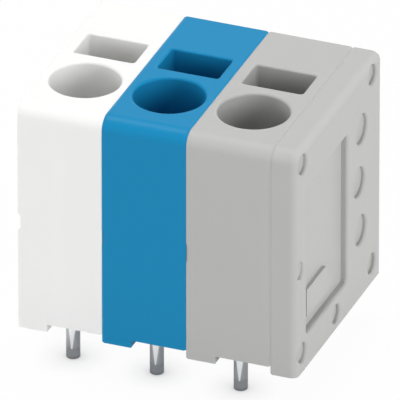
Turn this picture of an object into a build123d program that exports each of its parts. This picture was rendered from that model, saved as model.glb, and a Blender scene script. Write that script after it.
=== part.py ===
from build123d import *
import math
import os

# Terminal block of three discs, each with a folded contact bar and a clamping spring, closed by a flat cover
os.makedirs("parts", exist_ok=True)

# Poles, named from left to right
pole_names = ("white", "blue", "grey")

# Wire entry, which sets the pitch
entry_diameter = 6.1
entry_side_wall = 0.7
entry_setback = 5.94
entry_straight = 6.0
entry_cone = 1.2
throat_diameter = 4.6
entry_rim_radius = 0.25

# Screwdriver slot behind the wire entry
entry_to_slot_web = 1.09
slot_width = 5.45
slot_length = 3.52
slot_corner_radius = 0.25
slot_rim_radius = 0.2
slot_rear_wall = 0.7
slot_rear_wall_drop = 1.1

# Outer form of one disc
body_height = 21.2
foot_height = 0.7
foot_width = 2.6
top_front_radius = 1.3
joint_edge_width = 0.18
joint_edge_depth = 0.07

# Walls and the room inside
side_wall = 0.9
front_wall = 1.0
rear_wall = 1.0
top_wall = 1.1
bottom_wall = 1.2
funnel_depth = 7.7
spring_chamber = 3.95

# End cover
cover_thickness = 2.5
cover_front_edge_radius = 0.85
cover_back_edge_radius = 0.3
panel_to_front = 1.95
panel_to_back = 7.75
panel_to_board = 3.25
panel_to_top = 3.9
panel_depth = 0.6
panel_corner_radius = 0.35
panel_rim_radius = 0.25
pad_inset = 0.8
pad_length = 5.4
pad_rise = 1.25
pad_height = 2.5
pad_thickness = 0.3
pad_cut_corner = 1.0

# Round dimples in every left face and in the cover's outer face, and the pegs that enter them
dimple_depth = 0.36
dimple_rim_radius = 0.22
front_dimple_inset = 1.1
front_dimple_radius = 0.9
notch_dimple_depth = 0.25
notch_dimple_inset = 0.45
notch_dimple_height = 10.05
notch_dimple_radius = 0.78
keel_dimple_inset = 10.3
keel_dimple_height = 1.55
keel_dimple_radius = 0.85
back_dimple_inset = 1.9
back_dimple_radius = 0.9
low_dimple_height = 2.0
top_front_dimple_drop = 1.35
top_back_dimple_drop = 1.2
big_dimple_radius = 1.33
big_dimple_insets = (4.4, 4.95, 4.54)
big_dimple_heights = (16.12, 11.33, 6.58)
peg_clearance = 0.08
peg_height = 0.27
peg_root_wall = 0.25

# Contact bar with its solder pins
pin_diameter = 1.2
pin_length = 3.65
pin_tip_radius = 0.12
pin_root_width = 1.3
solder_relief_diameter = 3.6
front_pin_setback = 3.0
rear_pin_gap = 1.2
bar_thickness = 1.0
bar_bend_radius = 0.6
bar_side_clearance = 0.15
bar_seat_height = 1.0
pin_window_length = 4.6
pin_window_gap = 0.3
pin_slot_clearance = 0.06

# Clamping spring
spring_thickness = 0.45
spring_gap = 0.3
spring_headroom = 0.9
spring_loop_radius = 1.5
spring_kink_radius = 1.2
spring_leg_bend_radius = 2.0
spring_tip_drop = 4.4
spring_tip_width = 4.2
spring_tip_clearance = 0.02
spring_leg_top = 7.6
spring_leg_rise = 3.7
spring_post_clearance = 0.15
spring_post_gap = 0.3

# Ribs that hold the metal parts
rib_thickness = 0.8
front_rib_count = 3
rear_rib_count = 2
rib_relief = 0.2
seat_rib_count = 2

# Places along X, Y and Z, with the origin midway between all solder pins on the board
pole_pitch = entry_diameter + 2 * entry_side_wall
entry_back = entry_setback + entry_diameter / 2
slot_front = entry_back + entry_to_slot_web
slot_back = slot_front + slot_length
chamber_front = slot_back + slot_rear_wall
chamber_back = chamber_front + spring_chamber
body_depth = chamber_back + rear_wall
rear_pin_setback = chamber_front + rear_pin_gap
front_y = -(front_pin_setback + rear_pin_setback) / 2
back_y = front_y + body_depth
pole_places = [(place - (len(pole_names) - 1) / 2) * pole_pitch for place in range(len(pole_names))]
entry_y = front_y + entry_setback
slot_y = front_y + (slot_front + slot_back) / 2
front_pin_y = front_y + front_pin_setback
rear_pin_y = front_y + rear_pin_setback
ceiling_z = body_height - top_wall
floor_z = foot_height + bottom_wall
funnel_z = body_height - funnel_depth
plate_face_y = front_pin_y + bar_thickness / 2
seat_z = floor_z + bar_seat_height
web_top_z = seat_z + bar_thickness
plate_top_z = funnel_z - spring_gap
leg_top_z = ceiling_z - spring_leg_top
leg_end_z = seat_z + spring_leg_rise

# Dimples: distance behind the front face, height above the board, radius
peg_dimples = (
    (front_dimple_inset, body_height - top_front_dimple_drop, front_dimple_radius),
    (front_dimple_inset, low_dimple_height, front_dimple_radius),
    (body_depth - keel_dimple_inset, keel_dimple_height, keel_dimple_radius),
    (body_depth - back_dimple_inset, low_dimple_height, back_dimple_radius),
    (body_depth - back_dimple_inset, body_height - top_back_dimple_drop, back_dimple_radius),
)
big_dimples = tuple(
    (body_depth - inset, height, big_dimple_radius)
    for inset, height in zip(big_dimple_insets, big_dimple_heights)
)
notch_dimples = ((notch_dimple_inset, notch_dimple_height, notch_dimple_radius),)


def seen_from_side(points):
    """Distances behind the front face and heights, as points of the side view."""
    return [(front_y + setback, height) for setback, height in points]


def disc_outline(bottom):
    """Side view of a disc from its underside, at the height given, to its top."""
    with BuildSketch() as outline:
        with Locations((front_y, bottom)):
            Rectangle(body_depth, body_height - bottom, align=(Align.MIN, Align.MIN))
        fillet(outline.vertices().group_by(Axis.Y)[-1].sort_by(Axis.X)[0], top_front_radius)
    return outline.sketch


def cavity_outline():
    """Side view of the room for the metal parts, under the funnel block and behind the slot."""
    corners = seen_from_side((
        (front_wall, floor_z),
        (chamber_back, floor_z),
        (chamber_back, ceiling_z),
        (chamber_front, ceiling_z),
        (chamber_front, ceiling_z - slot_rear_wall_drop),
        (slot_front, funnel_z),
        (front_wall, funnel_z),
    ))
    with BuildSketch() as outline:
        with BuildLine():
            Polyline(*corners, close=True)
        make_face()
    return outline.sketch


def dimple_tool(radius, depth):
    """Cutter for a round dimple with a rounded rim, its mouth at the origin towards +X."""
    mouth = radius + dimple_rim_radius
    with BuildPart() as tool:
        with BuildSketch():
            with BuildLine():
                Polyline(
                    (0, mouth),
                    (0, 0),
                    (-depth, 0),
                    (-depth, radius),
                    (-dimple_rim_radius, radius),
                )
                RadiusArc((-dimple_rim_radius, radius), (0, mouth), -dimple_rim_radius)
            make_face()
        revolve(axis=Axis.X)
    return tool.part


def sink_dimples(face_x, dimples, depth, turn):
    """Cut dimples into a face across X, their mouths turned about Y by the angle given."""
    for setback, height, radius in dimples:
        with Locations((face_x, front_y + setback, height)):
            add(dimple_tool(radius, depth), rotation=(0, turn, 0), mode=Mode.SUBTRACT)


def spread(low, high, count):
    """Middles of equal shares of a length."""
    return [low + (high - low) * (share + 0.5) / count for share in range(count)]


def spring_path_points():
    """Corners of the spring's bent line, from its clamping edge over the loop to the fixed leg."""
    half = spring_thickness / 2
    top = (front_y + chamber_front, ceiling_z - slot_rear_wall_drop)
    foot = (front_y + slot_front, funnel_z)
    slope = (top[1] - foot[1]) / (top[0] - foot[0])
    run = math.hypot(1, slope)
    shift = (spring_gap + half) * run
    kink_z = funnel_z - spring_gap - half
    kink_y = foot[0] + (kink_z - foot[1] + shift) / slope
    loop_z = ceiling_z - spring_headroom - half
    loop_y = foot[0] + (loop_z - foot[1] + shift) / slope
    loop_back_y = front_y + chamber_back - spring_gap / 2 - half
    leg_y = rear_pin_y + bar_thickness / 2 + half
    tip_y = plate_face_y + half + spring_tip_clearance
    return (
        (tip_y, kink_z - spring_tip_drop),
        (kink_y, kink_z),
        (loop_y, loop_z),
        (loop_back_y, loop_z),
        (leg_y, leg_top_z),
        (leg_y, leg_end_z),
    )


def spring_post():
    """Centre and radius, in the side view, of the post inside the loop of the spring."""
    corner, bend = spring_path_points()[3:5]
    lean = math.atan2(corner[0] - bend[0], corner[1] - bend[1])
    reach = spring_loop_radius * math.tan((math.pi / 2 + lean) / 2)
    radius = spring_loop_radius - spring_thickness / 2 - spring_post_clearance
    return (corner[0] - reach, corner[1] - spring_loop_radius), radius


def make_housing(name, pole_x):
    """One insulating disc: left wall with its foot, funnel, slot and the room that opens to the right."""
    left_x = pole_x - pole_pitch / 2
    right_x = pole_x + pole_pitch / 2
    inner_x = left_x + side_wall
    room = right_x - inner_x
    with BuildPart() as housing:
        with BuildSketch(Plane.YZ.offset(left_x)):
            add(disc_outline(foot_height))
        extrude(amount=pole_pitch)
        with BuildSketch(Plane.YZ.offset(left_x)):
            add(disc_outline(0))
        extrude(amount=foot_width)
        for side in (0, -1):
            face = housing.faces().sort_by(Axis.X)[side]
            chamfer(face.outer_wire().edges(), joint_edge_depth, joint_edge_width, reference=face)

        # Room in the foot for the solder joints
        with BuildSketch():
            with Locations((pole_x, front_pin_y), (pole_x, rear_pin_y)):
                Circle(solder_relief_diameter / 2)
        extrude(amount=foot_height, mode=Mode.SUBTRACT)

        # Wire entry, its cone and the throat
        with BuildSketch(Plane.XY.offset(body_height)):
            with Locations((pole_x, entry_y)):
                Circle(entry_diameter / 2)
        extrude(amount=-entry_straight, mode=Mode.SUBTRACT)
        with BuildSketch(Plane.XY.offset(body_height - entry_straight)):
            with Locations((pole_x, entry_y)):
                Circle(entry_diameter / 2)
        with BuildSketch(Plane.XY.offset(body_height - entry_straight - entry_cone)):
            with Locations((pole_x, entry_y)):
                Circle(throat_diameter / 2)
        loft(mode=Mode.SUBTRACT)
        with BuildSketch(Plane.XY.offset(body_height - entry_straight - entry_cone)):
            with Locations((pole_x, entry_y)):
                Circle(throat_diameter / 2)
        extrude(amount=-(funnel_depth - entry_straight - entry_cone), mode=Mode.SUBTRACT)

        # Screwdriver slot
        with BuildSketch(Plane.XY.offset(body_height)):
            with Locations((pole_x, slot_y)):
                RectangleRounded(slot_width, slot_length, slot_corner_radius)
        extrude(amount=-funnel_depth, mode=Mode.SUBTRACT)
        entry_rim = housing.faces().sort_by(Axis.Z)[-1].inner_wires().sort_by(Axis.Y)[0]
        fillet(entry_rim.edges(), entry_rim_radius)
        slot_rim = housing.faces().sort_by(Axis.Z)[-1].inner_wires().sort_by(Axis.Y)[-1]
        fillet(slot_rim.edges(), slot_rim_radius)

        # Room for the metal parts
        with BuildSketch(Plane.YZ.offset(inner_x)):
            add(cavity_outline())
        extrude(amount=room, mode=Mode.SUBTRACT)

        # Ribs in front of the contact plate, behind the fixed leg of the spring and under the web
        front_rib_back = front_pin_setback - bar_thickness / 2
        rear_rib_front = rear_pin_setback + bar_thickness / 2 + spring_thickness
        with BuildSketch(Plane.YZ.offset(inner_x)):
            for height in spread(web_top_z + bar_bend_radius, plate_top_z, front_rib_count):
                with Locations((front_y + front_wall, height)):
                    Rectangle(front_rib_back - front_wall, rib_thickness, align=(Align.MIN, Align.CENTER))
            for height in spread(leg_end_z, leg_top_z, rear_rib_count):
                with Locations((front_y + chamber_back, height)):
                    Rectangle(chamber_back - rear_rib_front, rib_thickness, align=(Align.MAX, Align.CENTER))
            for place_y in spread(front_pin_y, rear_pin_y, seat_rib_count):
                with Locations((place_y, floor_z)):
                    Rectangle(rib_thickness, bar_seat_height, align=(Align.CENTER, Align.MIN))
        extrude(amount=room - rib_relief)

        # Post inside the loop of the spring
        post_centre, post_radius = spring_post()
        with BuildSketch(Plane.YZ.offset(inner_x)):
            with Locations(post_centre):
                Circle(post_radius)
        extrude(amount=room - rib_relief)

        # Pegs on the right rim, with bosses that carry them inside
        with BuildSketch(Plane.YZ.offset(inner_x)):
            for setback, height, radius in peg_dimples:
                with Locations((front_y + setback, height)):
                    Circle(radius - peg_clearance + peg_root_wall)
            add(cavity_outline(), mode=Mode.INTERSECT)
        extrude(amount=room)
        with BuildSketch(Plane.YZ.offset(right_x - joint_edge_width)):
            for setback, height, radius in peg_dimples:
                with Locations((front_y + setback, height)):
                    Circle(radius - peg_clearance)
            add(disc_outline(foot_height), mode=Mode.INTERSECT)
        extrude(amount=joint_edge_width + peg_height)

        # Slots in the floor, into which the roots of the pins are slid from the right
        slot_half = pin_root_width / 2 + pin_slot_clearance
        with BuildSketch(Plane.XY.offset(foot_height)):
            with Locations((pole_x - slot_half, front_pin_y), (pole_x - slot_half, rear_pin_y)):
                Rectangle(right_x - pole_x + slot_half, 2 * slot_half, align=(Align.MIN, Align.CENTER))
        extrude(amount=bottom_wall, mode=Mode.SUBTRACT)

        # Dimples in the left face
        sink_dimples(left_x, peg_dimples + big_dimples, dimple_depth, turn=180)
        sink_dimples(left_x, notch_dimples, notch_dimple_depth, turn=180)
    housing.part.label = f"housing_{name}"
    return housing.part


def make_contact_bar(name, pole_x):
    """One folded bar: front plate, web on the floor and rear upright, with a round pin under each end."""
    bar_left = pole_x - pole_pitch / 2 + side_wall + bar_side_clearance
    bar_width = pole_pitch - side_wall - 2 * bar_side_clearance
    middle_x = bar_left + bar_width / 2
    web_z = seat_z + bar_thickness / 2
    post_centre, post_radius = spring_post()
    bend = bar_bend_radius + bar_thickness / 2
    with BuildPart() as bar:
        with BuildLine(Plane.YZ.offset(middle_x)):
            fold = FilletPolyline(
                (front_pin_y, plate_top_z),
                (front_pin_y, web_z),
                (rear_pin_y, web_z),
                (rear_pin_y, post_centre[1] - post_radius - spring_post_gap),
                radius=bend,
            )
        with BuildSketch(Plane(origin=fold @ 0, x_dir=(1, 0, 0), z_dir=fold % 0)):
            Rectangle(bar_width, bar_thickness)
        sweep(path=fold)

        # Windows that the pins were cut from
        window_width = pin_diameter + 2 * pin_window_gap
        with BuildSketch(Plane.XY.offset(seat_z)):
            with Locations((pole_x, plate_face_y)):
                Rectangle(window_width, pin_window_length, align=(Align.CENTER, Align.MIN))
            with Locations((pole_x, rear_pin_y - bar_thickness / 2)):
                Rectangle(window_width, pin_window_length, align=(Align.CENTER, Align.MAX))
        extrude(amount=bar_thickness + bar_bend_radius, mode=Mode.SUBTRACT)

        # Round solder pins with square roots, which fill the slots in the floor
        with BuildSketch(Plane.XY.offset(-pin_length)):
            with Locations((pole_x, front_pin_y), (pole_x, rear_pin_y)):
                Circle(pin_diameter / 2)
        extrude(amount=pin_length + foot_height)
        fillet(bar.edges().group_by(Axis.Z)[0], pin_tip_radius)
        with BuildSketch(Plane.XY.offset(foot_height)):
            with Locations((pole_x, front_pin_y), (pole_x, rear_pin_y)):
                Rectangle(pin_root_width, pin_root_width)
        extrude(amount=web_top_z + bar_bend_radius - foot_height)
    bar.part.label = f"contact_bar_{name}"
    return bar.part


def make_clamp_spring(name, pole_x):
    """One folded strip: clamping leg on the contact plate, loop at the top and fixed leg on the upright."""
    strip_left = pole_x - pole_pitch / 2 + side_wall + bar_side_clearance
    strip_width = pole_pitch - side_wall - 2 * bar_side_clearance
    middle_x = strip_left + strip_width / 2
    corners = spring_path_points()
    tip, kink = corners[0], corners[1]
    bends = [spring_kink_radius, spring_loop_radius, spring_loop_radius, spring_leg_bend_radius]
    with BuildPart() as spring:
        with BuildLine(Plane.YZ.offset(middle_x)):
            fold = FilletPolyline(*corners, radius=bends)
        with BuildSketch(Plane(origin=fold @ 0, x_dir=(1, 0, 0), z_dir=fold % 0)):
            Rectangle(strip_width, spring_thickness)
        sweep(path=fold)

        # The clamping leg narrows towards its edge
        taper = (strip_width - spring_tip_width) / 2
        front = tip[0] - spring_thickness
        with BuildSketch(Plane.XY.offset(tip[1] - spring_thickness)):
            for side in (-1, 1):
                edge_x = middle_x + side * strip_width / 2
                with BuildLine():
                    Polyline(
                        (edge_x, front),
                        (edge_x - side * taper, front),
                        (edge_x - side * taper, tip[0] + taper),
                        (edge_x, (tip[0] + kink[0]) / 2),
                        close=True,
                    )
                make_face()
        extrude(amount=kink[1] - tip[1], mode=Mode.SUBTRACT)
    spring.part.label = f"clamp_spring_{name}"
    return spring.part


def make_end_cover():
    """The plate that closes the last disc, with its sunk panel and dimples."""
    inner_x = pole_places[-1] + pole_pitch / 2
    outer_x = inner_x + cover_thickness
    panel_y = front_y + panel_to_front
    panel_length = body_depth - panel_to_front - panel_to_back
    panel_height = body_height - panel_to_board - panel_to_top
    with BuildPart() as cover:
        with BuildSketch(Plane.YZ.offset(inner_x)):
            add(disc_outline(0))
        extrude(amount=cover_thickness)
        face = cover.faces().sort_by(Axis.X)[0]
        chamfer(face.outer_wire().edges(), joint_edge_depth, joint_edge_width, reference=face)

        # Outer edge, rounded more along the front and the top
        fillet(cover.faces().sort_by(Axis.X)[-1].outer_wire().edges(), cover_back_edge_radius)
        with BuildLine(Plane.YZ.offset(outer_x)):
            edge = FilletPolyline(
                (front_y, 0),
                (front_y, body_height),
                (back_y, body_height),
                radius=top_front_radius,
            )
        radius = cover_front_edge_radius
        with BuildSketch(Plane(origin=edge @ 0, x_dir=(1, 0, 0), z_dir=edge % 0)):
            Rectangle(radius, radius, align=(Align.MAX, Align.MIN))
            with Locations((-radius, radius)):
                Circle(radius, mode=Mode.SUBTRACT)
        sweep(path=edge, mode=Mode.SUBTRACT)

        # Sunk panel with a rounded rim, and the low pad in it
        with BuildSketch(Plane.YZ.offset(outer_x)) as panel:
            with Locations((panel_y, panel_to_board)):
                Rectangle(panel_length, panel_height, align=(Align.MIN, Align.MIN))
            fillet(panel.vertices(), panel_corner_radius)
        extrude(amount=-panel_depth, mode=Mode.SUBTRACT)
        fillet(cover.faces().sort_by(Axis.X)[-1].inner_wires().edges(), panel_rim_radius)
        with BuildSketch(Plane.YZ.offset(outer_x - panel_depth)) as pad:
            with Locations((panel_y + pad_inset, panel_to_board + pad_rise)):
                Rectangle(pad_length, pad_height, align=(Align.MIN, Align.MIN))
            chamfer(pad.vertices().group_by(Axis.X)[-1].sort_by(Axis.Y)[-1], pad_cut_corner)
        extrude(amount=pad_thickness)

        # Dimples outside, and inside the ones that take the pegs
        sink_dimples(outer_x, peg_dimples + big_dimples, dimple_depth, turn=0)
        sink_dimples(outer_x, notch_dimples, notch_dimple_depth, turn=0)
        sink_dimples(inner_x, peg_dimples, dimple_depth, turn=180)
    cover.part.label = "end_cover"
    return cover.part


pieces = [make_end_cover()]
for pole_name, place_x in zip(pole_names, pole_places):
    pieces.append(make_housing(pole_name, place_x))
    pieces.append(make_contact_bar(pole_name, place_x))
    pieces.append(make_clamp_spring(pole_name, place_x))

for piece in pieces:
    export_step(piece, f"parts/{piece.label}.step")
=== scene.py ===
"""Looks of a three-pole terminal block: moulded discs, end cover, pins, springs, floor, light and camera."""

import math

import bpy
import numpy as np
from bpy.props import FloatProperty, FloatVectorProperty, PointerProperty
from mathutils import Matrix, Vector


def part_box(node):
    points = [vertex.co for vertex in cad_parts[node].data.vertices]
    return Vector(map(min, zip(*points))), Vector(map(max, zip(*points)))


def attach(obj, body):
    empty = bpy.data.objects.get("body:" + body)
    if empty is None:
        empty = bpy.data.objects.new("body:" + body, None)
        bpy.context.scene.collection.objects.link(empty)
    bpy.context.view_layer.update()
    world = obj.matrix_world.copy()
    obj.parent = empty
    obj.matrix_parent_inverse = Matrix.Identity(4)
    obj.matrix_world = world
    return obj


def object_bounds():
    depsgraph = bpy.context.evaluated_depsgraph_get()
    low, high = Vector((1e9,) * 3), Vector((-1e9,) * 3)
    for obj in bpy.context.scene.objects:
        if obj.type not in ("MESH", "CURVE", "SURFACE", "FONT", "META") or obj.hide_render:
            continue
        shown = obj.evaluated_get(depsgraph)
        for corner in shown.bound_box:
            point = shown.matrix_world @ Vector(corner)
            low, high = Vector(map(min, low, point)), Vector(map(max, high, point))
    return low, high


bl_info = {
    "name": "Terminal Block Looks",
    "version": (1, 0, 0),
    "blender": (4, 5, 0),
    "location": "3D View > Sidebar > Terminal Block",
    "description": "Finishes, floor, light and camera for a three-pole terminal block",
    "category": "Object",
}

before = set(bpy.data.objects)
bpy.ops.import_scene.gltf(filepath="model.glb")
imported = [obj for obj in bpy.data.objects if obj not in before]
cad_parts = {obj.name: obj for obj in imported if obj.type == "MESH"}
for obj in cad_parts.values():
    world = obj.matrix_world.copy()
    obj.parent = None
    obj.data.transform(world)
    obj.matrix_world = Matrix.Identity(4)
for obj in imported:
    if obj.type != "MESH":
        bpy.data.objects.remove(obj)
cad_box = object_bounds()

POLES = ("white", "blue", "grey")
WHITE = (1.0, 1.0, 1.0)

# Each lamp's spread in degrees, the direction that it shines from, and whether it shows in gloss
LAMPS = {
    "key": (40, (0.95, -0.15, 0.25), False),
    "rim": (35, (-0.95, -0.25, 0.1), False),
    "top": (35, (-0.15, 0.1, 0.98), True),
    "front": (40, (0, -0.98, 0.2), False),
    "back": (40, (0, 0.9, 0.4), False),
}


# Shader nodes


def add_node(tree, kind, settings=None, sockets=None, output=0):
    """Add one node. Settings are set first, then each socket, by name or number, gets its value or link."""
    node = tree.nodes.new(kind)
    for name, value in (settings or {}).items():
        setattr(node, name, value)
    for key, value in (sockets or {}).items():
        if isinstance(value, Wire):
            tree.links.new(value.socket, node.inputs[key])
        else:
            node.inputs[key].default_value = value
    return Wire(node.outputs[output]) if node.outputs else None


class Wire:
    """What comes out of one socket. Python's operators on it add the Math nodes that work the number out."""

    def __init__(self, socket):
        self.socket = socket

    def maths(self, operation, *terms):
        """Add one Math node that works on wires and numbers."""
        sockets = dict(enumerate(terms))
        return add_node(self.socket.id_data, "ShaderNodeMath", {"operation": operation}, sockets)

    def __add__(self, other):
        return self.maths("ADD", self, other)

    def __radd__(self, other):
        return self.maths("ADD", other, self)

    def __sub__(self, other):
        return self.maths("SUBTRACT", self, other)

    def __rsub__(self, other):
        return self.maths("SUBTRACT", other, self)

    def __mul__(self, other):
        return self.maths("MULTIPLY", self, other)

    def __rmul__(self, other):
        return self.maths("MULTIPLY", other, self)

    def __pow__(self, other):
        return self.maths("POWER", self, other)

    def larger(self, other):
        """The larger of two values at each place."""
        return self.maths("MAXIMUM", self, other)


class Finish:
    """The node tree of one material, read on the object's own coordinates in metres."""

    def __init__(self, name):
        self.material = bpy.data.materials.new(name)
        self.material.use_nodes = True
        self.tree = self.material.node_tree
        self.tree.nodes.clear()
        self.place = self.add("ShaderNodeTexCoord", output="Object")
        parts = self.add("ShaderNodeSeparateXYZ", None, {0: self.place}).socket.node.outputs
        self.x, self.y, self.z = (Wire(socket) for socket in parts)

    def add(self, kind, settings=None, sockets=None, output=0):
        """Add one node to this material's tree."""
        return add_node(self.tree, kind, settings, sockets, output)

    def noise(self, size, detail=2.0, roughness=0.5, place=None):
        """Soft noise from 0 to 1 whose blots are about as large as the size given."""
        return self.add("ShaderNodeTexNoise", {"normalize": True}, {
            "Vector": place or self.place, "Scale": 1 / size, "Detail": detail, "Roughness": roughness,
        })

    def stretched(self, size_x, size_y, size_z):
        """Coordinates in which noise of size 1 has blots of these sizes along X, Y and Z."""
        sockets = {"Vector": self.place, "Scale": (1 / size_x, 1 / size_y, 1 / size_z)}
        return self.add("ShaderNodeMapping", {"vector_type": "POINT"}, sockets)

    def step(self, value, start, end):
        """Goes smoothly from 0 to 1 while the value goes from start to end."""
        sockets = {"Value": value, "From Min": start, "From Max": end}
        return self.add("ShaderNodeMapRange", {"interpolation_type": "SMOOTHSTEP"}, sockets)

    def blend(self, factor, first, second):
        """The first colour where the factor is 0, the second where it is 1. Colour sockets go by number."""
        sockets = {0: factor, 6: first, 7: second}
        return self.add("ShaderNodeMix", {"data_type": "RGBA", "clamp_factor": True}, sockets, output=2)

    def relief(self, height, depth):
        """Normal of a surface that rises by the depth given while the height goes from 0 to 1."""
        return self.add("ShaderNodeBump", None, {"Height": height, "Distance": depth, "Strength": 1.0})

    def surface(self, sockets):
        """The finished material, with the values and links given on its Principled shader."""
        shader = self.add("ShaderNodeBsdfPrincipled", None, sockets)
        self.add("ShaderNodeOutputMaterial", None, {"Surface": shader})
        return self.material


def tinted(colour, factor):
    """A colour made lighter or darker, with full opacity."""
    return tuple(min(part * factor, 1.0) for part in colour) + (1.0,)


def swing(value, width):
    """A value from 0 to 1 made to swing about 0, over the width given."""
    return (value - 0.5) * width


def dress(node_name, material):
    """Give a CAD node its finish in every material slot of its object."""
    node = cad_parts.get(node_name)
    if node is None or not node.material_slots:
        raise RuntimeError(f"the frame has no node named {node_name} with a material slot")
    for slot in node.material_slots:
        slot.material = material


# Settings


class PlasticFinish(bpy.types.PropertyGroup):
    white: FloatVectorProperty(
        name="White", description="Colour of the first disc", subtype="COLOR",
        size=3, min=0, max=1, default=(0.865, 0.865, 0.855),
    )
    blue: FloatVectorProperty(
        name="Blue", description="Colour of the middle disc", subtype="COLOR",
        size=3, min=0, max=1, default=(0.011, 0.236, 0.465),
    )
    grey: FloatVectorProperty(
        name="Grey", description="Colour of the last disc and the end cover", subtype="COLOR",
        size=3, min=0, max=1, default=(0.472, 0.474, 0.466),
    )
    roughness: FloatProperty(
        name="Roughness", description="Mean roughness of the moulded faces", subtype="FACTOR",
        min=0, max=1, default=0.32,
    )
    shine: FloatProperty(
        name="Shine", description="Strength of the reflection straight on", subtype="FACTOR",
        min=0, max=1, default=0.08,
    )
    grain_size: FloatProperty(
        name="Grain size", description="Width of one grain of the mould's texture", unit="LENGTH",
        min=0.00001, max=0.001, precision=6, default=0.00009,
    )
    grain_depth: FloatProperty(
        name="Grain depth", description="Depth of the mould's texture", unit="LENGTH",
        min=0, max=0.0001, precision=7, default=0.000003,
    )
    mottle: FloatProperty(
        name="Mottle", description="How far the tone varies over a face", subtype="FACTOR",
        min=0, max=0.2, default=0.02,
    )
    mottle_size: FloatProperty(
        name="Mottle size", description="Width of the patches of even tone", unit="LENGTH",
        min=0.0001, precision=6, default=0.006,
    )
    flow_width: FloatProperty(
        name="Flow width", description="Width of the flow lines", unit="LENGTH",
        min=0.0001, precision=6, default=0.0011,
    )
    flow_length: FloatProperty(
        name="Flow length", description="Length of the flow lines down the faces", unit="LENGTH",
        min=0.0001, precision=6, default=0.02,
    )


class MetalFinish(bpy.types.PropertyGroup):
    tin: FloatVectorProperty(
        name="Tin", description="Colour of the plated contact bars and pins", subtype="COLOR",
        size=3, min=0, max=1, default=(0.5, 0.52, 0.545),
    )
    steel: FloatVectorProperty(
        name="Steel", description="Colour of the clamping springs", subtype="COLOR",
        size=3, min=0, max=1, default=(0.5, 0.48, 0.45),
    )
    blot_size: FloatProperty(
        name="Blot size", description="Width of the soft blots in the plating", unit="LENGTH",
        min=0.00001, precision=6, default=0.0007,
    )
    tip_height: FloatProperty(
        name="Tip height", description="Height of the dark tips of the pins", unit="LENGTH",
        min=0, precision=6, default=0.0004,
    )
    tip_fade: FloatProperty(
        name="Tip fade", description="Height over which the dark tips fade out", unit="LENGTH",
        min=0.00001, precision=6, default=0.00035,
    )
    # Painted shade on the pins' lower ends: its height and fade stand in for the shadowed floor that the ends
    # mirror
    shade_height: FloatProperty(
        name="Low height", description="Height of the duller lower ends of the pins", unit="LENGTH",
        min=0, precision=6, default=0.0013,
    )
    shade_fade: FloatProperty(
        name="Low fade", description="Height over which the duller ends fade out", unit="LENGTH",
        min=0.00001, precision=6, default=0.0004,
    )
    pin_row: FloatProperty(
        name="Pin row", description="Distance of each row of pins from the middle", unit="LENGTH",
        min=0.001, precision=6, default=0.00625,
    )
    # Painted highlight on the pins: where its near-white wedge starts, how fast it widens and where it lies
    highlight_start: FloatProperty(
        name="Wedge start", description="Height above the pins' tips where the smooth wedge starts",
        unit="LENGTH", min=0, precision=6, default=0.00095,
    )
    highlight_slope: FloatProperty(
        name="Wedge slope", description="How fast the wedge's half width grows with height",
        min=0, max=2, default=0.12,
    )
    highlight_offset: FloatProperty(
        name="Wedge offset", description="How far right of the bar's middle the wedge lies", unit="LENGTH",
        precision=6, default=-0.00035,
    )
    tin_roughness: FloatProperty(
        name="Tin roughness", description="Mean roughness of the plating", subtype="FACTOR",
        min=0, max=1, default=0.16,
    )
    steel_roughness: FloatProperty(
        name="Steel roughness", description="Mean roughness of the rolled strip", subtype="FACTOR",
        min=0, max=1, default=0.3,
    )
    tint_size: FloatProperty(
        name="Tint size", description="Width of the straw-coloured blots on the springs", unit="LENGTH",
        min=0.0001, precision=6, default=0.004,
    )
    line_width: FloatProperty(
        name="Line width", description="Width of the drawing and rolling lines", unit="LENGTH",
        min=0.00001, max=0.001, precision=6, default=0.00005,
    )
    tin_line_depth: FloatProperty(
        name="Tin line depth", description="Depth of the drawing lines in the plating", unit="LENGTH",
        min=0, max=0.0001, precision=7, default=0.0000012,
    )
    steel_line_depth: FloatProperty(
        name="Steel line depth", description="Depth of the rolling lines in the springs", unit="LENGTH",
        min=0, max=0.0001, precision=7, default=0.0000015,
    )


class DetailSizes(bpy.types.PropertyGroup):
    notch_width: FloatProperty(
        name="Notch width", description="Width of the notch in a disc's front edge", unit="LENGTH",
        min=0.00001, precision=6, default=0.00027,
    )
    notch_height: FloatProperty(
        name="Notch height", description="Height of the notch", unit="LENGTH",
        min=0.00001, precision=6, default=0.0018,
    )
    notch_middle: FloatProperty(
        name="Notch middle", description="Height of the notch's middle above the board", unit="LENGTH",
        precision=6, default=0.01005,
    )
    notch_fall: FloatProperty(
        name="Notch fall", description="How far the notch's slanted bottom falls to the joint", unit="LENGTH",
        min=0.00001, precision=6, default=0.00014,
    )


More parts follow.
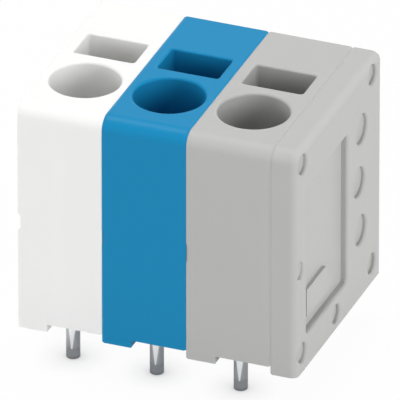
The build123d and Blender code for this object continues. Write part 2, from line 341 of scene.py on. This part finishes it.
class StageSettings(bpy.types.PropertyGroup):
    floor_radius: FloatProperty(
        name="Floor radius", description="Radius of the round floor", unit="LENGTH",
        min=0.1, default=0.8,
    )
    floor_tone: FloatProperty(
        name="Floor tone", description="Share of the light that the floor gives back", subtype="FACTOR",
        min=0, max=1, default=0.78,
    )
    shadow_lift: FloatProperty(
        name="Shadow lift", description="Share of plain white in the open floor as the camera sees it",
        subtype="FACTOR", min=0, max=1, default=0.965,
    )
    contact_reach: FloatProperty(
        name="Contact reach", description="How far from the pins the floor darkens", unit="LENGTH",
        min=0.0001, precision=6, default=0.0028,
    )
    mirror_lift: FloatProperty(
        name="Mirror lift", description="Share of plain white in the floor as metal mirrors it",
        subtype="FACTOR", min=0, max=1, default=0.3,
    )
    sky: FloatProperty(
        name="Sky", description="Strength of the even light from all round", min=0, max=2, default=0.15,
    )
    key: FloatProperty(
        name="Key", description="Strength of the soft lamp on the right", min=0, max=10, default=1.95,
    )
    rim: FloatProperty(
        name="Rim", description="Strength of the soft lamp on the left", min=0, max=10, default=1.35,
    )
    top: FloatProperty(
        name="Top", description="Strength of the soft lamp above", min=0, max=10, default=2.08,
    )
    front: FloatProperty(
        name="Front", description="Strength of the soft lamp in front", min=0, max=10, default=0.91,
    )
    back: FloatProperty(
        name="Back", description="Strength of the soft lamp behind", min=0, max=10, default=0.6,
    )
    azimuth: FloatProperty(
        name="Azimuth", description="Camera's turn to the right of the front", subtype="ANGLE",
        default=math.radians(21.1),
    )
    elevation: FloatProperty(
        name="Elevation", description="Camera's height above the horizon", subtype="ANGLE",
        default=math.radians(29.06),
    )
    lens: FloatProperty(
        name="Lens", description="Focal length in millimetres, long for a nearly parallel view",
        unit="CAMERA", min=50, max=5000, default=1600,
    )
    view_width: FloatProperty(
        name="View width", description="Width of the square view at the block", unit="LENGTH",
        min=0.001, precision=6, default=0.03337,
    )
    aim_right: FloatProperty(
        name="Aim right", description="How far right of the origin the camera aims", unit="LENGTH",
        precision=6, default=0.001346,
    )
    aim_up: FloatProperty(
        name="Aim up", description="How far above the origin the camera aims", unit="LENGTH",
        precision=6, default=0.00833,
    )
    aim_depth: FloatProperty(
        name="Aim depth", description="How far towards the camera the view width is measured",
        unit="LENGTH", precision=6, default=0.004,
    )


# Finishes


def moulded_plastic(finish, colour, look):
    """Satin moulding: fine grain, faint flow lines down the faces and a slow change of tone."""
    grain = finish.noise(look.grain_size, detail=3.0, roughness=0.6)
    mottle = finish.noise(look.mottle_size, detail=3.0)
    along = finish.stretched(look.flow_width, look.flow_width, look.flow_length)
    flow = finish.noise(1.0, place=along)
    tone = 0.5 + swing(0.7 * mottle + 0.3 * flow, 1.6)
    return finish.surface({
        "Base Color": finish.blend(tone, tinted(colour, 1 - look.mottle), tinted(colour, 1 + look.mottle)),
        "Roughness": look.roughness + swing(mottle, 0.08) + swing(grain, 0.06),
        "Specular IOR Level": look.shine,
        "Normal": finish.relief(grain, look.grain_depth),
    })


def painted_pin_highlight(finish, height, look, box):
    """Painted highlight: 1 on a wedge that widens up the outer side of each pin, and 0 elsewhere, with soft
    edges. It stands in for the pin's reflection of the lit floor.
    """
    soft = 0.0001  # width of the wedge's soft edges
    row = look.pin_row
    middle = (box[0].x + box[1].x) / 2 + look.highlight_offset
    across = ((finish.x - middle) ** 2) ** 0.5
    half_width = look.highlight_slope * (height - look.highlight_start)
    outer_side = finish.step(finish.y**2, (row - 2.5 * soft) ** 2, (row + 0.5 * soft) ** 2)
    above_start = finish.step(height, look.highlight_start, look.highlight_start + soft)
    return finish.step(half_width - across, -soft, 0) * outer_side * above_start


def tinned_metal(name, look, box):
    """Bright tin plating with lines along the pins, soft blots, a painted highlight wedge on each, painted
    shade on the lower ends and darker tips.
    """
    finish = Finish(name)
    width = look.line_width
    lines = finish.noise(1.0, place=finish.stretched(width, width, 40 * width))
    blots = finish.noise(look.blot_size, detail=3.0)
    height = finish.z - box[0].z
    tip = 1 - finish.step(height, look.tip_height - look.tip_fade, look.tip_height)
    # Painted shade: darker lower ends of the pins, standing in for their reflection of the shadowed floor
    low = 1 - finish.step(height, look.shade_height - look.shade_fade, look.shade_height)
    plated = finish.blend(0.6 * blots + 0.4 * lines, tinted(look.tin, 0.88), tinted(look.tin, 1.04))
    # Painted shade on the lower ends, mixed with the darker tips, in a dark tin colour
    tip_and_painted_shade = finish.blend(0.25 * low + 0.4 * tip, plated, tinted(look.tin, 0.3))
    return finish.surface({
        # Painted highlight: the near-white wedge stands in for the pins' reflection of the lit floor
        "Base Color": finish.blend(painted_pin_highlight(finish, height, look, box), tip_and_painted_shade, tinted(WHITE, 0.99)),
        "Metallic": 1.0,
        "Roughness": look.tin_roughness + swing(lines, 0.08) + swing(blots, 0.08) + 0.15 * tip,
        "Normal": finish.relief(lines, look.tin_line_depth),
    })


def rolled_steel(name, look):
    """Rolled spring strip: fine lines along the strip and a faint straw tint in blots."""
    finish = Finish(name)
    width = look.line_width
    lines = finish.noise(1.0, place=finish.stretched(width, 60 * width, 60 * width))
    tint = finish.step(finish.noise(look.tint_size), 0.45, 0.75)
    red, green, blue = look.steel
    straw = tinted((1.05 * red, 0.94 * green, 0.78 * blue), 1.0)
    plain = finish.blend(lines, tinted(look.steel, 0.85), tinted(look.steel, 1.1))
    return finish.surface({
        "Base Color": finish.blend(0.5 * tint, plain, straw),
        "Metallic": 1.0,
        "Roughness": look.steel_roughness + swing(lines, 0.16),
        "Normal": finish.relief(lines, look.steel_line_depth),
    })


# Pieces that the frame lacks


def notch_bar(corner, sizes, steps=9):
    """Arrays of a closed bar in a notch. Point (u, v) lies at corner u of a four-sided profile, and at height
    middle + v * height with v from -0.5 to 0.5. The profile starts near the joint, one fall behind the
    disc's front, rises nearly to the front one notch width further on, and closes two falls behind it."""
    profile_x = np.array([0.01, 1.0, 1.0, 0.01]) * sizes.notch_width
    profile_y = np.array([1.0, 0.02, 2.0, 2.0]) * sizes.notch_fall
    v = np.linspace(-0.5, 0.5, steps)[:, None]
    points = np.stack(np.broadcast_arrays(
        corner.x + profile_x, corner.y + profile_y, sizes.notch_middle + v * sizes.notch_height,
    ), axis=-1).reshape(-1, 3)
    corners = len(profile_x)
    here = np.arange(corners)
    there = (here + 1) % corners
    start = np.arange(steps - 1)[:, None] * corners
    above = start + corners
    sides = np.stack([start + here, start + there, above + there, above + here], axis=-1)
    bottom, top = here[::-1], here + (steps - 1) * corners
    return points, [*sides.reshape(-1, corners).tolist(), bottom.tolist(), top.tolist()]


def add_piece(name, points, faces, material):
    """Object at the origin, with a mesh of the points and faces given and one finish."""
    mesh = bpy.data.meshes.new(name)
    mesh.from_pydata(points.tolist(), [], faces)
    mesh.materials.append(material)
    piece = bpy.data.objects.new(name, mesh)
    bpy.context.scene.collection.objects.link(piece)
    return piece


# Floor, light and camera


def floor_disc(radius, height, rings=24, sides=96):
    """Arrays of a flat round floor: point (u, v) lies at radius * u * u from the middle, turned by v."""
    u = np.linspace(0, 1, rings + 1)[1:]
    v = np.arange(sides) * (2 * math.pi / sides)
    reach = radius * u[:, None] ** 2
    ring_points = np.stack([
        reach * np.cos(v), reach * np.sin(v), np.full((rings, sides), height),
    ], axis=-1).reshape(-1, 3)
    points = np.vstack([[[0.0, 0.0, height]], ring_points])
    here = np.arange(sides)
    there = (here + 1) % sides
    middle = np.stack([np.zeros(sides, int), 1 + here, 1 + there], axis=-1)
    inner = 1 + np.arange(rings - 1)[:, None] * sides
    bands = np.stack([inner + here, inner + sides + here, inner + sides + there, inner + there], axis=-1)
    return points, middle.tolist() + bands.reshape(-1, 4).tolist()


def seen_by(tree):
    """Three wires that are 1 where the camera, a gloss or a clear piece looks, and 0 elsewhere."""
    rays = add_node(tree, "ShaderNodeLightPath").socket.node.outputs
    return tuple(Wire(rays[name]) for name in ("Is Camera Ray", "Is Glossy Ray", "Is Transmission Ray"))


def white_floor(stage):
    """Matt white floor that keeps the block's shadow, eased for the camera and a little for metal."""
    finish = Finish("white_floor")
    paper = finish.noise(0.004)
    full = stage.floor_tone
    tone = finish.blend(paper, tinted(WHITE, 0.998 * full), tinted(WHITE, full))
    matt = finish.add("ShaderNodeBsdfDiffuse", None, {"Color": tone})
    plain = finish.add("ShaderNodeEmission", None, {"Color": tinted(WHITE, 1.0), "Strength": 1.0})
    by_camera, by_gloss, by_glass = seen_by(finish.tree)
    reach = {"Distance": stage.contact_reach}
    open_floor = finish.add("ShaderNodeAmbientOcclusion", {"samples": 16}, reach, output="AO")
    share = by_camera * open_floor * stage.shadow_lift + by_gloss.larger(by_glass) * stage.mirror_lift
    mixed = finish.add("ShaderNodeMixShader", None, {0: share, 1: matt, 2: plain})
    finish.add("ShaderNodeOutputMaterial", None, {"Surface": mixed})
    return finish.material


def soft_sun(name, strength, spread, towards, mirrored):
    """A sun lamp that shines from the direction given. Only a mirrored one shows in gloss."""
    lamp = bpy.data.lights.new(name, "SUN")
    lamp.energy = strength
    lamp.angle = math.radians(spread)
    holder = bpy.data.objects.new(name, lamp)
    holder.rotation_mode = "QUATERNION"
    holder.rotation_quaternion = Vector(towards).to_track_quat("Z", "Y")
    holder.visible_glossy = mirrored
    bpy.context.scene.collection.objects.link(holder)


def white_world(sky):
    """Even light from all round, which the camera, metal and glass see as plain white."""
    world = bpy.data.worlds.new("white_world")
    world.use_nodes = True
    tree = world.node_tree
    tree.nodes.clear()
    by_camera, by_gloss, by_glass = seen_by(tree)
    seen = by_camera.larger(by_gloss).larger(by_glass)
    light = add_node(tree, "ShaderNodeBackground", None, {
        "Color": tinted(WHITE, 1.0), "Strength": sky + seen * (1 - sky),
    })
    add_node(tree, "ShaderNodeOutputWorld", None, {"Surface": light})
    bpy.context.scene.world = world


# Operators


class TERMINAL_OT_dress_housings(bpy.types.Operator):
    """Give each disc its moulded plastic"""

    bl_idname = "terminal.dress_housings"
    bl_label = "Dress Discs"

    def execute(self, context):
        look = context.scene.terminal_plastic
        for pole in POLES:
            finish = Finish(f"{pole}_plastic_moulded")
            dress(f"housing_{pole}", moulded_plastic(finish, getattr(look, pole), look))
        return {"FINISHED"}


class TERMINAL_OT_dress_cover(bpy.types.Operator):
    """Give the end cover its moulded plastic"""

    bl_idname = "terminal.dress_cover"
    bl_label = "Dress End Cover"

    def execute(self, context):
        look = context.scene.terminal_plastic
        dress("end_cover", moulded_plastic(Finish("cover_plastic_moulded"), look.grey, look))
        return {"FINISHED"}


class TERMINAL_OT_dress_bars(bpy.types.Operator):
    """Give the contact bars and their pins their tin plating"""

    bl_idname = "terminal.dress_bars"
    bl_label = "Dress Contact Bars"

    def execute(self, context):
        for pole in POLES:
            bar = f"contact_bar_{pole}"
            dress(bar, tinned_metal(f"tin_plating_{pole}", context.scene.terminal_metal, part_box(bar)))
        return {"FINISHED"}


class TERMINAL_OT_dress_springs(bpy.types.Operator):
    """Give the clamping springs their rolled steel"""

    bl_idname = "terminal.dress_springs"
    bl_label = "Dress Springs"

    def execute(self, context):
        strip = rolled_steel("spring_strip", context.scene.terminal_metal)
        for pole in POLES:
            dress(f"clamp_spring_{pole}", strip)
        return {"FINISHED"}


class TERMINAL_OT_slant_notches(bpy.types.Operator):
    """Give the notches at the joints between the discs their slanted bottoms"""

    bl_idname = "terminal.slant_notches"
    bl_label = "Slant Notches"

    def execute(self, context):
        for pole in POLES[1:]:
            points, faces = notch_bar(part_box(f"housing_{pole}")[0], context.scene.terminal_details)
            material = bpy.data.materials[f"{pole}_plastic_moulded"]
            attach(add_piece(f"notch_bottom_{pole}", points, faces, material), "root")
        return {"FINISHED"}


class TERMINAL_OT_set_stage(bpy.types.Operator):
    """Lay the floor, and set the world and the lamps"""

    bl_idname = "terminal.set_stage"
    bl_label = "Set Stage"

    def execute(self, context):
        stage = context.scene.terminal_stage
        points, faces = floor_disc(stage.floor_radius, cad_box[0].z)
        add_piece("floor", points, faces, white_floor(stage))
        white_world(stage.sky)
        for name, (spread, towards, mirrored) in LAMPS.items():
            soft_sun(f"{name}_lamp", getattr(stage, name), spread, towards, mirrored)
        context.scene.view_settings.view_transform = "Standard"
        return {"FINISHED"}


class TERMINAL_OT_place_camera(bpy.types.Operator):
    """Place the camera at the photograph's angle"""

    bl_idname = "terminal.place_camera"
    bl_label = "Place Camera"

    def execute(self, context):
        stage = context.scene.terminal_stage
        turn, rise = stage.azimuth, stage.elevation
        right = Vector((math.cos(turn), math.sin(turn), 0))
        back = Vector((math.sin(turn) * math.cos(rise), -math.cos(turn) * math.cos(rise), math.sin(rise)))
        up = back.cross(right)
        camera = bpy.data.cameras.new("photo_camera")
        camera.lens = stage.lens
        distance = stage.view_width * stage.lens / camera.sensor_width
        camera.clip_start, camera.clip_end = distance / 100, distance * 10
        holder = bpy.data.objects.new("photo_camera", camera)
        holder.location = right * stage.aim_right + up * stage.aim_up + back * (stage.aim_depth + distance)
        holder.rotation_mode = "QUATERNION"
        holder.rotation_quaternion = back.to_track_quat("Z", "Y")
        context.scene.collection.objects.link(holder)
        context.scene.camera = holder
        return {"FINISHED"}


STEPS = (
    TERMINAL_OT_dress_housings,
    TERMINAL_OT_dress_cover,
    TERMINAL_OT_dress_bars,
    TERMINAL_OT_dress_springs,
    TERMINAL_OT_slant_notches,
    TERMINAL_OT_set_stage,
    TERMINAL_OT_place_camera,
)
SETTINGS = {
    "terminal_plastic": PlasticFinish,
    "terminal_metal": MetalFinish,
    "terminal_details": DetailSizes,
    "terminal_stage": StageSettings,
}


class VIEW3D_PT_terminal_block(bpy.types.Panel):
    """Settings and steps of the terminal block"""

    bl_label = "Terminal Block"
    bl_idname = "VIEW3D_PT_terminal_block"
    bl_space_type = "VIEW_3D"
    bl_region_type = "UI"
    bl_category = "Terminal Block"

    def draw(self, context):
        for name, group in SETTINGS.items():
            box = self.layout.box()
            for key in group.__annotations__:
                box.prop(getattr(context.scene, name), key)
        for step in STEPS:
            self.layout.operator(step.bl_idname)


CLASSES = (*SETTINGS.values(), *STEPS, VIEW3D_PT_terminal_block)


def register():
    for part in CLASSES:
        bpy.utils.register_class(part)
    for name, group in SETTINGS.items():
        setattr(bpy.types.Scene, name, PointerProperty(type=group))


def unregister():
    for name in SETTINGS:
        delattr(bpy.types.Scene, name)
    for part in reversed(CLASSES):
        bpy.utils.unregister_class(part)


def main():
    """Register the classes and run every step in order."""
    register()
    bpy.ops.terminal.dress_housings()
    bpy.ops.terminal.dress_cover()
    bpy.ops.terminal.dress_bars()
    bpy.ops.terminal.dress_springs()
    bpy.ops.terminal.slant_notches()
    bpy.ops.terminal.set_stage()
    bpy.ops.terminal.place_camera()


if __name__ == "__main__":
    main()
